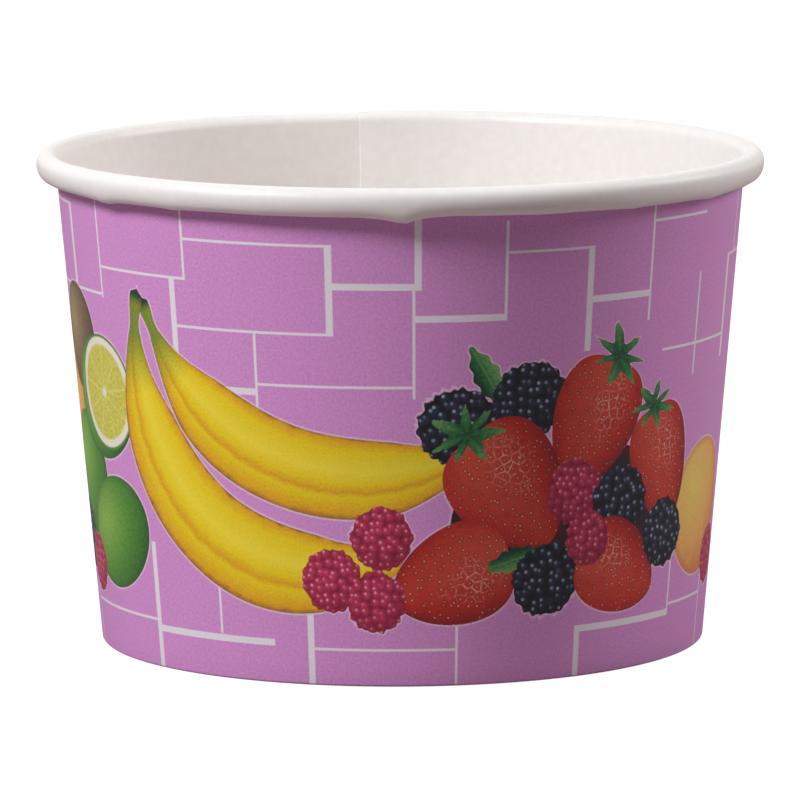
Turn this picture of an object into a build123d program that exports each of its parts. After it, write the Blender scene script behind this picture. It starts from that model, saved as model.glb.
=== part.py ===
"""Paper dessert cup: a printed board wall with a rolled rim, and a board disc sealed into its foot.

Millimetres, +Z up. The origin is on the cup's axis, at the surface that it stands on.
"""

import os
from math import acos, atan2, cos, degrees, hypot, radians, sin, tan

from build123d import *

# Overall sizes of the cup
RIM_DIAMETER = 92.0
FOOT_DIAMETER = 76.5
HEIGHT = 62.3

# Stock that the two blanks are cut from
WALL_BOARD = 0.4
BASE_BOARD = 0.4

# Rolled rim: its diameter over the board, the gap beside its tucked edge, and how far that edge turns
ROLL_DIAMETER = 3.2
TUCK_GAP = 0.08
TUCK_TURN = 110.0

# Narrow flats that the board is curled in, round the roll and round its tucked edge
ROLL_FLATS = 8
TUCK_FLATS = 3

# Foot: the disc's underside stands this high, and the wall is folded in and up round the disc's skirt
BASE_RECESS = 7.0
HEM_BELOW_BASE = 1.4
SKIRT_CLEARANCE = 0.3
SEAL_GAP = 0.02

# Side seam at the back: where the inner edge lies, how wide the lap is, and how far its two ramps run
SEAM_ANGLE = 97.0
LAP_WIDTH = 7.0
LAP_FADE_ANGLE = 40.0
LAP_TOE = 0.02
LAP_CLEARANCE = 0.3

# The wall leans so that its outer face starts at the foot and runs on into the roll
rim_radius = RIM_DIAMETER / 2
foot_radius = FOOT_DIAMETER / 2
roll_radius = (ROLL_DIAMETER - WALL_BOARD) / 2
roll_x = rim_radius - ROLL_DIAMETER / 2
roll_z = HEIGHT - ROLL_DIAMETER / 2
roll_reach = roll_x - foot_radius
lean = acos((roll_radius - WALL_BOARD / 2) / hypot(roll_reach, roll_z)) - atan2(roll_z, roll_reach)
lean_angle = degrees(lean)


def wall_radius(height, depth):
    """Radius at a height of the surface that lies at a depth under the wall's outer face."""
    return foot_radius + height * tan(lean) - depth / cos(lean)


def curl(height, radius, start_angle, end_angle, flats):
    """Corners of the board's middle as it curls round a point under the rim, after the one it starts from."""
    turns = [radians(start_angle + (end_angle - start_angle) * i / flats) for i in range(1, flats + 1)]
    return [(roll_x + radius * cos(turn), height + radius * sin(turn)) for turn in turns]


# Depths of the layers at the foot, each measured square to the wall from its outer face
wall_middle = WALL_BOARD / 2
skirt_middle = WALL_BOARD + SEAL_GAP + BASE_BOARD / 2
hem_middle = WALL_BOARD + 2 * SEAL_GAP + BASE_BOARD + WALL_BOARD / 2

fold_z = WALL_BOARD / 2
hem_top = BASE_RECESS - HEM_BELOW_BASE
panel_z = BASE_RECESS + BASE_BOARD / 2
roll_start = (roll_x - roll_radius * cos(lean), roll_z + roll_radius * sin(lean))
tuck_radius = roll_radius - WALL_BOARD - TUCK_GAP
tuck_z = roll_z - roll_radius + tuck_radius

# Lap of the side seam: each end of the sheet rides half a board proud and fades into the wall on one side
lap_bury = 0.75 * WALL_BOARD
lap_throw = (WALL_BOARD / 2 - LAP_TOE) / (1 - cos(radians(LAP_FADE_ANGLE)))
lap_angle = degrees(LAP_WIDTH / wall_radius(HEIGHT / 2, 0))
lap_bottom = panel_z + BASE_BOARD / 2 + LAP_CLEARANCE
inner_lap_top = roll_start[1] - LAP_CLEARANCE
outer_lap_top = roll_z - ROLL_DIAMETER / 2 - LAP_CLEARANCE
inner_toe_angle = SEAM_ANGLE - LAP_FADE_ANGLE
outer_edge_angle = SEAM_ANGLE - lap_angle
outer_toe_angle = outer_edge_angle + LAP_FADE_ANGLE

# Each ramp's face depth, the way that it stands proud (1 is away from the axis), its toe, its start and its top
lap_ramps = (
    (WALL_BOARD, -1, inner_toe_angle, inner_toe_angle, inner_lap_top),
    (0, 1, outer_toe_angle, outer_edge_angle, outer_lap_top),
)


def around(angle):
    """Level direction that points away from the axis at an angle from +X."""
    return Vector(cos(radians(angle)), sin(radians(angle)), 0)


# Printed sidewall: one sheet whose section runs from the hem, round the foot, up the wall and round the roll
with BuildPart() as sidewall:
    with BuildSketch(Plane.XZ):
        with BuildLine():
            Polyline(
                (wall_radius(hem_top, hem_middle), hem_top),
                (wall_radius(fold_z, hem_middle), fold_z),
                (wall_radius(fold_z, wall_middle), fold_z),
                roll_start,
                *curl(roll_z, roll_radius, 180 - lean_angle, -90, ROLL_FLATS),
                *curl(tuck_z, tuck_radius, -90, -90 - TUCK_TURN, TUCK_FLATS),
            )
        trace(line_width=WALL_BOARD)
    revolve(axis=Axis.Z)
    for face_depth, side, toe_angle, start_angle, ramp_top in lap_ramps:
        centre = around(toe_angle) * (-side * lap_throw)
        across = around(start_angle)
        proud = side * (lap_throw + LAP_TOE)
        buried = side * (lap_throw - lap_bury)
        low = wall_radius(lap_bottom, face_depth)
        high = wall_radius(ramp_top, face_depth)
        with BuildSketch(Plane(centre, x_dir=across, z_dir=across.cross(Vector(0, 0, 1)))):
            with BuildLine():
                Polyline(
                    (low + buried, lap_bottom),
                    (low + proud, lap_bottom),
                    (high + proud, ramp_top),
                    (high + buried, ramp_top),
                    close=True,
                )
            make_face()
        revolve(axis=Axis(centre, (0, 0, 1)), revolution_arc=LAP_FADE_ANGLE)

# Base disc: a flat panel whose rim is creased down into a skirt, held between the wall and its hem
skirt_foot = WALL_BOARD + SKIRT_CLEARANCE
with BuildPart() as base_disc:
    with BuildSketch(Plane.XZ):
        with BuildLine():
            Polyline(
                (0, panel_z),
                (wall_radius(panel_z, skirt_middle), panel_z),
                (wall_radius(skirt_foot, skirt_middle), skirt_foot),
            )
        trace(line_width=BASE_BOARD)
    revolve(axis=Axis.Z)

sidewall.part.label = "sidewall"
base_disc.part.label = "base_disc"

os.makedirs("parts", exist_ok=True)
export_step(sidewall.part, "parts/sidewall.step")
export_step(base_disc.part, "parts/base_disc.step")
print(f"wall leans {lean_angle:.2f} degrees, lap {lap_angle:.2f} degrees wide")
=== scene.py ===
"""Dressed model of a paper dessert cup: a printed wall with a rolled rim, and the disc in its foot.

Metres, +Z up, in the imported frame. The print is drawn in millimetres on the wall's own flat sheet.
"""

import logging
from abc import ABC, abstractmethod
from collections.abc import Callable
from dataclasses import dataclass
from enum import Enum
from functools import reduce
from math import acos, atan, atan2, cos, degrees, exp, hypot, pi, radians, sin, tan

import bpy
from mathutils import Matrix, Vector


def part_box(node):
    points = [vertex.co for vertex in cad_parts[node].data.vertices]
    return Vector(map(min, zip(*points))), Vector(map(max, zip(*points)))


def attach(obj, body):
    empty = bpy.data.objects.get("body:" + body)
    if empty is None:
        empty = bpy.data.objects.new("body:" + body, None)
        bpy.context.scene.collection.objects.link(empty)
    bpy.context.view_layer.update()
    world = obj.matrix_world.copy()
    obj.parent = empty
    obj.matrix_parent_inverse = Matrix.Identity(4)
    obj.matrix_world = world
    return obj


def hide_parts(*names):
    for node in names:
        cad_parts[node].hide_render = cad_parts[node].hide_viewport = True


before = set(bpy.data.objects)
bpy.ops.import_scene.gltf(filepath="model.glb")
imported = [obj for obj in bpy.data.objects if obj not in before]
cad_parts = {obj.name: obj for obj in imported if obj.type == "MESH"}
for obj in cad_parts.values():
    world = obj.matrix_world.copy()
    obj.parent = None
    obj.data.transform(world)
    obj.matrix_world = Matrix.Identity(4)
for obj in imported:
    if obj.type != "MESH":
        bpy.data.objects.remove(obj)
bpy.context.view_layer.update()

log = logging.getLogger("paper_cup")
MM = 0.001
SLACK = 0.002 * MM
PRINT_MAP = "print"
FLAT_MAP = "OFBake"
THICKNESS = "thickness"
FRONT = 1.5 * pi
SMOOTH_ANGLE = radians(40.0)
MIX_FACTOR, MIX_UNDER, MIX_TOP, MIX_RESULT = 0, 6, 7, 2

Colour = tuple[float, float, float, float]
Stops = tuple[tuple[float, "Ink"], ...]
Heights = tuple[tuple[float, float], ...]


def linear(red: int, green: int, blue: int) -> Colour:
    """Return the scene-linear colour of three display bytes."""
    shares = (byte / 255 for byte in (red, green, blue))
    return (*(s / 12.92 if s <= 0.04045 else ((s + 0.055) / 1.055) ** 2.4 for s in shares), 1.0)


class Ink(Enum):
    """Printing inks, as display bytes."""

    LILAC = (217, 148, 209)
    LINE = (238, 228, 237)
    HALO = (240, 208, 230)
    SHADOW = (38, 28, 36)
    SHADOW_RED = (74, 30, 36)
    BANANA = (240, 206, 28)
    BANANA_LIGHT = (246, 220, 62)
    BANANA_AMBER = (228, 166, 34)
    BANANA_EDGE = (142, 96, 40)
    STEM = (92, 128, 50)
    STEM_TIP = (44, 62, 44)
    RIND = (84, 140, 50)
    RIND_DEEP = (38, 84, 38)
    RIND_LIGHT = (136, 178, 72)
    PITH = (242, 232, 216)
    LIME = (200, 190, 50)
    LIME_PALE = (226, 214, 116)
    KIWI = (122, 98, 72)
    KIWI_DEEP = (74, 58, 48)
    KIWI_LIGHT = (166, 142, 104)
    STRAWBERRY = (188, 46, 40)
    STRAWBERRY_DEEP = (112, 24, 30)
    STRAWBERRY_LIGHT = (216, 88, 66)
    SEED = (240, 178, 138)
    SHINE = (246, 218, 208)
    LEAF = (54, 118, 66)
    LEAF_DEEP = (24, 62, 46)
    LEAF_LIGHT = (116, 164, 96)
    BLACKBERRY = (46, 52, 74)
    BLACKBERRY_DEEP = (14, 13, 20)
    BLACKBERRY_GLINT = (166, 182, 204)
    RASPBERRY = (206, 62, 98)
    RASPBERRY_DEEP = (132, 28, 58)
    RASPBERRY_GLINT = (244, 168, 186)
    PEACH = (240, 180, 100)
    PEACH_YELLOW = (238, 206, 108)
    PEACH_BLUSH = (208, 108, 74)

    @property
    def colour(self) -> Colour:
        """Scene-linear colour of the ink."""
        return linear(*self.value)


class Face(Enum):
    """Faces of a sheet of board, as the numbers of its material slots."""

    LEFT_PANEL = 0
    COATED = 1
    CUT = 2
    RIGHT_PANEL = 3


class Texture(Enum):
    """Textures that lie over the whole sheet.

    Each has a Voronoi feature, or noise, then a pitch and a shift in millimetres, and the cells' scatter.
    """

    SEEDS = ("F1", 1.15, 0.0, 0.85)
    SEED_RINGS = ("DISTANCE_TO_EDGE", 1.15, 0.0, 0.85)
    BEADS = ("F1", 1.2, 0.0, 0.72)
    BEAD_GLINTS = ("F1", 1.2, 0.18, 0.72)
    FINE_BEADS = ("F1", 1.0, 0.0, 0.7)
    FINE_BEAD_GLINTS = ("F1", 1.0, 0.15, 0.7)
    MOTTLE = ("NOISE", 1.8, 0.0, 0.0)
    FINE_MOTTLE = ("NOISE", 0.55, 0.0, 0.0)
    GRAIN = ("NOISE", 0.3, 0.0, 0.0)


class Field:
    """A number that varies over the sheet, carried by the output of a node."""

    def __init__(self, tree: bpy.types.NodeTree, socket: bpy.types.NodeSocket) -> None:
        """Hold the tree and the socket that carries the number."""
        self.tree = tree
        self.socket = socket

    def math(self, operation: str, *others: "Field | float", clamp: bool = False) -> "Field":
        """Return what a Math node makes of this field.

        Args:
            operation: The Math node's operation.
            others: The operation's further values, as fields or plain numbers.
            clamp: True to keep the result between 0 and 1.

        Returns:
            The field at the node's output.
        """
        node = self.tree.nodes.new("ShaderNodeMath")
        node.operation = operation
        node.use_clamp = clamp
        for value, target in zip((self, *others), node.inputs):
            if isinstance(value, Field):
                self.tree.links.new(value.socket, target)
            else:
                target.default_value = value
        return Field(self.tree, node.outputs[0])

    def __add__(self, other: "Field | float") -> "Field":
        """Sum with a field or number."""
        return self.math("ADD", other)

    def __sub__(self, other: "Field | float") -> "Field":
        """Difference from a field or number."""
        return self.math("SUBTRACT", other)

    def __rsub__(self, other: float) -> "Field":
        """A number less this field."""
        return self.math("MULTIPLY_ADD", -1.0, other)

    def __mul__(self, other: "Field | float") -> "Field":
        """Product with a field or number."""
        return self.math("MULTIPLY", other)

    def __truediv__(self, other: "Field | float") -> "Field":
        """Share of a field or number."""
        return self.math("DIVIDE", other)

    def __pow__(self, exponent: float) -> "Field":
        """Power of this field."""
        return self.math("POWER", exponent)

    def __abs__(self) -> "Field":
        """Size of this field without its sign."""
        return self.math("ABSOLUTE")

    def least(self, other: "Field | float") -> "Field":
        """Smaller of this and another."""
        return self.math("MINIMUM", other)

    def greatest(self, other: "Field | float") -> "Field":
        """Larger of this and another."""
        return self.math("MAXIMUM", other)

    def limited(self) -> "Field":
        """This field kept between 0 and 1."""
        return self.math("ADD", 0.0, clamp=True)

    def cover(self, softness: float) -> "Field":
        """1 where this field is above a softness, 0 where it is below 0, and a slope between."""
        return self.math("DIVIDE", softness, clamp=True)


class Pen:
    """Makes the nodes that draw on a surface, and knows the place of a point on it."""

    def __init__(self, tree: bpy.types.NodeTree, place: bpy.types.NodeSocket) -> None:
        """Start with no textures.

        Args:
            tree: Node tree that is drawn in.
            place: Place of a point, as a vector.
        """
        self.tree = tree
        self.place = place
        self.textures: dict[Texture, Field] = {}
        self.x, self.y = self.split(place)

    def add(self, kind: str, **settings: object) -> bpy.types.Node:
        """Add a node.

        Args:
            kind: The node's type.
            settings: Settings to make, by name.

        Returns:
            The new node.
        """
        node = self.tree.nodes.new(kind)
        for name, value in settings.items():
            setattr(node, name, value)
        return node

    def split(self, vector: bpy.types.NodeSocket) -> tuple[Field, Field]:
        """Take a vector apart.

        Args:
            vector: A point on the surface.

        Returns:
            Its first two parts.
        """
        node = self.add("ShaderNodeSeparateXYZ")
        self.tree.links.new(vector, node.inputs[0])
        return Field(self.tree, node.outputs[0]), Field(self.tree, node.outputs[1])

    def join(self, x: Field, y: Field) -> bpy.types.NodeSocket:
        """Put a vector together.

        Args:
            x: Its first part.
            y: Its second part.

        Returns:
            The vector.
        """
        node = self.add("ShaderNodeCombineXYZ")
        self.tree.links.new(x.socket, node.inputs[0])
        self.tree.links.new(y.socket, node.inputs[1])
        return node.outputs[0]

    @staticmethod
    def distance(x: Field, y: Field) -> Field:
        """Return the distance of a point from the middle."""
        return (x * x + y * y).math("SQRT")

    def polar(self, x: Field, y: Field) -> tuple[Field, Field]:
        """Return the distance of a point, and its angle from straight down towards +X."""
        return self.distance(x, y), x.math("ARCTAN2", y * -1.0)

    def blended(self, value: Field, stops: list[tuple[float, Colour]], blend: str) -> bpy.types.NodeSocket:
        """Blend colours along a ramp.

        Args:
            value: Where on the ramp each point is, from 0 to 1.
            stops: Places on the ramp with their colours, from low to high.
            blend: The ramp's interpolation.

        Returns:
            The ramp's colour.
        """
        node = self.add("ShaderNodeValToRGB")
        node.color_ramp.interpolation = blend
        steps = node.color_ramp.elements
        while len(steps) < len(stops):
            steps.new(0.5)
        for step, (at, colour) in zip(steps, stops):
            step.position = at
            step.color = colour
        self.tree.links.new(value.socket, node.inputs[0])
        return node.outputs[0]

    def ramp(self, value: Field, stops: Stops) -> bpy.types.NodeSocket:
        """Return the ink at a value on a ramp of inks."""
        return self.blended(value, [(at, ink.colour) for at, ink in stops], "LINEAR")

    def profile(self, value: Field, stops: Heights) -> Field:
        """Return the height at a value on a smooth curve through a few heights."""
        greys = [(at, (height, height, height, 1.0)) for at, height in stops]
        return Field(self.tree, self.blended(value, greys, "CARDINAL"))

    def noise(self, vector: bpy.types.NodeSocket, scale: float, detail: float = 2.0) -> Field:
        """Add soft noise.

        Args:
            vector: Place of a point.
            scale: Bumps in each unit of the vector.
            detail: Octaves of finer bumps.

        Returns:
            The noise, from 0 to 1.
        """
        node = self.add("ShaderNodeTexNoise")
        node.inputs["Scale"].default_value = scale
        node.inputs["Detail"].default_value = detail
        self.tree.links.new(vector, node.inputs["Vector"])
        return Field(self.tree, node.outputs["Fac"])

    def cells(self, pitch: float, feature: str, shift: float, scatter: float) -> Field:
        """Scatter cells over the surface.

        Args:
            pitch: Distance between the cells.
            feature: The Voronoi node's feature.
            shift: How far the cells are moved to the left and up.
            scatter: From 0, in rows, to 1, at random.

        Returns:
            The distance from a cell's middle, or from its edge, in cells.
        """
        moved = self.add("ShaderNodeVectorMath", operation="ADD")
        moved.inputs[1].default_value = (shift, -shift, 0.0)
        self.tree.links.new(self.place, moved.inputs[0])
        node = self.add("ShaderNodeTexVoronoi", voronoi_dimensions="2D", feature=feature)
        node.inputs["Scale"].default_value = 1.0 / pitch
        node.inputs["Randomness"].default_value = scatter
        self.tree.links.new(moved.outputs[0], node.inputs["Vector"])
        return Field(self.tree, node.outputs["Distance"])

    def lay_textures(self) -> None:
        """Make each texture of the sheet once, for all the motifs to share."""
        for texture in Texture:
            kind, pitch, shift, scatter = texture.value
            if kind == "NOISE":
                self.textures[texture] = self.noise(self.place, 1.0 / pitch)
            else:
                self.textures[texture] = self.cells(pitch, kind, shift, scatter)

    def over(self, under: bpy.types.NodeSocket | Ink, top: bpy.types.NodeSocket | Ink,
             cover: Field) -> bpy.types.NodeSocket:
        """Lay one ink over another.

        Args:
            under: Ink below, or the colour of what is drawn so far.
            top: Ink that goes over it.
            cover: How much of the top ink shows, from 0 to 1.

        Returns:
            The colour of both.
        """
        node = self.add("ShaderNodeMix", data_type="RGBA")
        self.tree.links.new(cover.socket, node.inputs[MIX_FACTOR])
        for ink, target in ((under, node.inputs[MIX_UNDER]), (top, node.inputs[MIX_TOP])):
            if isinstance(ink, Ink):
                target.default_value = ink.colour
            else:
                self.tree.links.new(ink, target)
        return node.outputs[MIX_RESULT]

    def grained(self, ink: bpy.types.NodeSocket, grain: Field, strength: float) -> bpy.types.NodeSocket:
        """Make an ink a little lighter and darker, least where it is near black or white.

        Args:
            ink: Colour of the print.
            grain: Grain of the printing, from 0 to 1.
            strength: How much of the grain shows.

        Returns:
            The grained colour.
        """
        node = self.add("ShaderNodeMix", data_type="RGBA", blend_type="OVERLAY")
        node.inputs[MIX_FACTOR].default_value = strength
        self.tree.links.new(ink, node.inputs[MIX_UNDER])
        self.tree.links.new(grain.socket, node.inputs[MIX_TOP])
        return node.outputs[MIX_RESULT]


@dataclass(frozen=True)
class Motif(ABC):
    """One kind of fruit or leaf, drawn in a square that reaches 1 each way from its middle."""

    name: str
    softness: float = 0.12

    @abstractmethod
    def draw(self, pen: Pen) -> tuple[Field, bpy.types.NodeSocket]:
        """Return how far inside the outline a point lies, and the motif's colour there."""

    def group(self) -> bpy.types.NodeTree:
        """Make the node group at its first use.

        Returns:
            The group that lays this motif over what is drawn so far.
        """
        if self.name in bpy.data.node_groups:
            return bpy.data.node_groups[self.name]
        tree = bpy.data.node_groups.new(self.name, "ShaderNodeTree")
        for label, kind in (("Ink", "Color"), ("Reach", "Float"), ("Place", "Vector"), ("Size", "Float")):
            tree.interface.new_socket(name=label, in_out="INPUT", socket_type=f"NodeSocket{kind}")
        for texture in Texture:
            tree.interface.new_socket(name=texture.name, in_out="INPUT", socket_type="NodeSocketFloat")
        for label, kind in (("Ink", "Color"), ("Reach", "Float")):
            tree.interface.new_socket(name=label, in_out="OUTPUT", socket_type=f"NodeSocket{kind}")
        taken = tree.nodes.new("NodeGroupInput").outputs
        pen = Pen(tree, taken["Place"])
        pen.textures = {texture: Field(tree, taken[texture.name]) for texture in Texture}
        edge, colour = self.draw(pen)
        edge = edge * Field(tree, taken["Size"])
        given = tree.nodes.new("NodeGroupOutput").inputs
        tree.links.new(pen.over(taken["Ink"], colour, edge.cover(self.softness)), given["Ink"])
        tree.links.new(edge.greatest(Field(tree, taken["Reach"])).socket, given["Reach"])
        return tree


@dataclass(frozen=True)
class Strawberry(Motif):
    """A berry with its tip down, pitted with seeds."""

    tip: float = 1.15
    tall: float = 2.1
    plump: float = 1.62
    tip_bulge: float = 0.58
    shoulder_bulge: float = 0.32
    pit: float = 0.32
    seed: float = 0.13
    shine_place: tuple[float, float] = (0.2, 0.25)
    shine_reach: float = 0.55
    shine_line: float = 0.1

    def draw(self, pen: Pen) -> tuple[Field, bpy.types.NodeSocket]:
        """Draw the berry.

        Args:
            pen: Pen of the motif's own tree.

        Returns:
            The depth inside a rounded cone, and its seeded red.
        """
        along = ((pen.y + self.tip) / self.tall).limited()
        half = along ** self.tip_bulge * (1.0 - along) ** self.shoulder_bulge * self.plump
        side = pen.x / half
        round_off = side * side
        light = pen.y * 0.16 - pen.x * 0.14 - round_off * 0.5 + 0.61
        flesh = pen.ramp(light + pen.textures[Texture.MOTTLE] * 0.24, (
            (0.0, Ink.STRAWBERRY_DEEP), (0.45, Ink.STRAWBERRY), (1.0, Ink.STRAWBERRY_LIGHT)))
        seeds = pen.textures[Texture.SEEDS]
        pitted = pen.over(flesh, Ink.STRAWBERRY_DEEP, (self.pit - seeds).cover(0.2) * 0.4)
        shown = (pen.textures[Texture.MOTTLE] * 2.6 - 0.55 - round_off * 0.5).limited()
        seeded = pen.over(pitted, Ink.SEED, (self.seed - seeds).cover(0.07) * shown)
        aside, above = self.shine_place
        patch = (self.shine_reach - abs(pen.x - aside) - abs(pen.y - above) * 0.7).cover(0.5)
        rings = (self.shine_line - pen.textures[Texture.SEED_RINGS]).cover(self.shine_line)
        shine = patch * rings * (pen.textures[Texture.FINE_MOTTLE] * 3.4 - 1.2).limited()
        ends = self.tall / 2 + 0.02 - abs(pen.y + (self.tip - self.tall / 2))
        return (half - abs(pen.x)).least(ends), pen.over(seeded, Ink.SHINE, shine)


@dataclass(frozen=True)
class Drupelets(Motif):
    """A berry made of beads, such as a blackberry or a raspberry."""

    beads: Texture = Texture.BEADS
    glints: Texture = Texture.BEAD_GLINTS
    deep: Ink = Ink.BLACKBERRY_DEEP
    body: Ink = Ink.BLACKBERRY
    glint: Ink = Ink.BLACKBERRY_GLINT
    bead_top: float = 0.16
    gap: float = 0.62
    glint_reach: float = 0.24
    full: float = 1.06
    knobs: float = 0.16

    def draw(self, pen: Pen) -> tuple[Field, bpy.types.NodeSocket]:
        """Draw the berry.

        Args:
            pen: Pen of the motif's own tree.

        Returns:
            The depth inside a beaded round, and its glinting beads.
        """
        far = pen.distance(pen.x, pen.y)
        bead = pen.textures[self.beads]
        beads = pen.ramp(bead, ((self.bead_top, self.body), (self.gap, self.deep)))
        shade = (far * 0.75 - pen.y * 0.3 + pen.x * 0.15 - 0.25).limited()
        shaded = pen.over(beads, self.deep, shade)
        uneven = (pen.textures[Texture.MOTTLE] * 3.0 - 0.9 - shade * 0.5).limited()
        glint = (self.glint_reach - pen.textures[self.glints]).cover(0.16) * uneven
        return self.full - far - bead * self.knobs, pen.over(shaded, self.glint, glint)


@dataclass(frozen=True)
class RoundFruit(Motif):
    """A whole fruit with a matt skin, lit from its upper left."""

    skin: Texture = Texture.FINE_MOTTLE
    deep: Ink = Ink.RIND_DEEP
    body: Ink = Ink.RIND
    light: Ink = Ink.RIND_LIGHT
    lit_place: float = 0.35
    shaded_edge: float = 0.86

    def draw(self, pen: Pen) -> tuple[Field, bpy.types.NodeSocket]:
        """Draw the fruit.

        Args:
            pen: Pen of the motif's own tree.

        Returns:
            The depth inside a round, and its skin.
        """
        far = pen.distance(pen.x, pen.y)
        lit = pen.distance(pen.x + self.lit_place, pen.y - self.lit_place)
        skin = 0.85 - lit * 0.6 + pen.textures[self.skin] * 0.3
        colour = pen.ramp(skin, ((0.05, self.deep), (0.5, self.body), (0.95, self.light)))
        return 1.0 - far, pen.over(colour, self.deep, (far - self.shaded_edge).cover(0.2) * 0.7)


@dataclass(frozen=True)
class LimeWheel(Motif):
    """A slice cut across a lime, with its rind, pith and segments."""

    segments: int = 9
    skin: float = 0.1
    core: float = 0.1
    flesh_edge: float = 0.79
    pith_edge: float = 0.93

    def draw(self, pen: Pen) -> tuple[Field, bpy.types.NodeSocket]:
        """Draw the slice.

        Args:
            pen: Pen of the motif's own tree.

        Returns:
            The depth inside a round, and its rings and rays.
        """
        far, turn = pen.polar(pen.x, pen.y)
        rays = abs((turn * (self.segments / 2)).math("SINE"))
        flesh = pen.ramp(pen.textures[Texture.FINE_MOTTLE], ((0.3, Ink.LIME), (0.75, Ink.LIME_PALE)))
        parted = pen.over(flesh, Ink.LIME_PALE, (self.skin - rays * far * 0.9).cover(0.06))
        cored = pen.over(parted, Ink.PITH, (self.core - far).cover(0.05))
        ringed = pen.over(cored, Ink.PITH, (far - self.flesh_edge).cover(0.05))
        return 1.0 - far, pen.over(ringed, Ink.RIND, (far - self.pith_edge).cover(0.03))


@dataclass(frozen=True)
class Banana(Motif):
    """A banana that bends round the middle of its square, with its stem at the left end."""

    half_turn: float = 60.0
    half_width: float = 0.18
    stem: float = 0.22
    stem_cut: float = 0.035
    blossom_end: float = 0.965
    taper: Heights = (
        (0.0, 0.0), (0.012, 0.2), (0.1, 0.22), (0.28, 0.84),
        (0.55, 1.0), (0.8, 0.84), (0.96, 0.3), (1.0, 0.0))

    def draw(self, pen: Pen) -> tuple[Field, bpy.types.NodeSocket]:
        """Draw the fruit.

        Args:
            pen: Pen of the motif's own tree.

        Returns:
            The depth inside a tapered crescent, and its ridged yellow.
        """
        far, turn = pen.polar(pen.x, pen.y)
        half_turn = radians(self.half_turn)
        along = (turn / (2 * half_turn) + 0.5).limited()
        width = pen.profile(along, self.taper) * self.half_width
        across = far - 1.0
        face = (across / width) * 0.5 + 0.46
        skin = pen.ramp(face + pen.textures[Texture.MOTTLE] * 0.08, (
            (0.0, Ink.BANANA_EDGE), (0.04, Ink.BANANA_AMBER), (0.16, Ink.BANANA), (0.42, Ink.BANANA_LIGHT),
            (0.57, Ink.BANANA), (0.67, Ink.BANANA_AMBER), (0.73, Ink.BANANA), (0.93, Ink.BANANA_AMBER),
            (1.0, Ink.BANANA_EDGE)))
        stemmed = pen.over(skin, Ink.STEM, (self.stem - along).cover(0.12) * 0.85)
        ends = (self.stem_cut - along).cover(0.02).greatest((along - self.blossom_end).cover(0.02))
        ended = pen.over(stemmed, Ink.STEM_TIP, ends)
        return (width - abs(across)).least((half_turn + 0.01) - abs(turn)), ended


@dataclass(frozen=True)
class Leaf(Motif):
    """A toothed leaf that points up."""

    half_width: float = 0.5
    teeth: float = 15.0
    tooth: float = 0.05
    vein: float = 0.05

    def draw(self, pen: Pen) -> tuple[Field, bpy.types.NodeSocket]:
        """Draw the leaf.

        Args:
            pen: Pen of the motif's own tree.

        Returns:
            The depth inside a pointed oval, and its veined green.
        """
        half = (1.0 - pen.y * pen.y).greatest(0.0) * self.half_width
        tooth = (pen.y * self.teeth).math("SINE") * self.tooth
        side = pen.x * 1.2 + pen.textures[Texture.FINE_MOTTLE] * 0.6 + 0.2
        green = pen.ramp(side, ((0.1, Ink.LEAF_DEEP), (0.5, Ink.LEAF), (0.95, Ink.LEAF_LIGHT)))
        veined = pen.over(green, Ink.LEAF_LIGHT, (self.vein - abs(pen.x)).cover(0.04) * 0.6)
        return (half + tooth - abs(pen.x)).least(1.0 - abs(pen.y)), veined


@dataclass(frozen=True)
class Crown(Motif):
    """The star of leaves on a strawberry's shoulder."""

    points: int = 7
    reach: float = 0.72
    notch: float = 0.56

    def draw(self, pen: Pen) -> tuple[Field, bpy.types.NodeSocket]:
        """Draw the star.

        Args:
            pen: Pen of the motif's own tree.

        Returns:
            The depth inside a star, and its green.
        """
        far, turn = pen.polar(pen.x, pen.y)
        wave = abs((turn * (self.points / 2)).math("SINE"))
        green = pen.ramp(far * 0.5 + pen.textures[Texture.FINE_MOTTLE] * 0.7 - wave * 0.25, (
            (0.1, Ink.LEAF_DEEP), (0.5, Ink.LEAF), (0.95, Ink.LEAF_LIGHT)))
        uneven = (turn * 2.0 + 0.6).math("SINE") * 0.12 + pen.textures[Texture.MOTTLE] * 0.4
        return uneven + self.reach - wave ** 1.2 * self.notch - far, green


@dataclass(frozen=True)
class Gloom(Motif):
    """The dark between the berries of a heap."""

    def draw(self, pen: Pen) -> tuple[Field, bpy.types.NodeSocket]:
        """Return the depth inside a round, and its near black."""
        dark = pen.ramp(pen.textures[Texture.MOTTLE], ((0.4, Ink.SHADOW), (0.8, Ink.SHADOW_RED)))
        return 1.0 - pen.distance(pen.x, pen.y), dark


@dataclass(frozen=True)
class Placed:
    """A motif's place on the sheet, in millimetres and degrees."""

    motif: Motif
    across: float
    up: float
    half_width: float
    half_height: float
    turn: float = 0.0
    spare: float = 1.3

    def reaches(self, low: float, high: float) -> bool:
        """Return whether the motif may show between two places across the sheet."""
        reach = self.spare * max(self.half_width, self.half_height)
        return low - reach < self.across < high + reach


class LineWeight(Enum):
    """Thickness of a tile line, in millimetres."""

    FINE = 0.44
    BOLD = 0.95


class Run(Enum):
    """Way that a tile line runs over the sheet."""

    ACROSS = 0
    UP = 1


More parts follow.
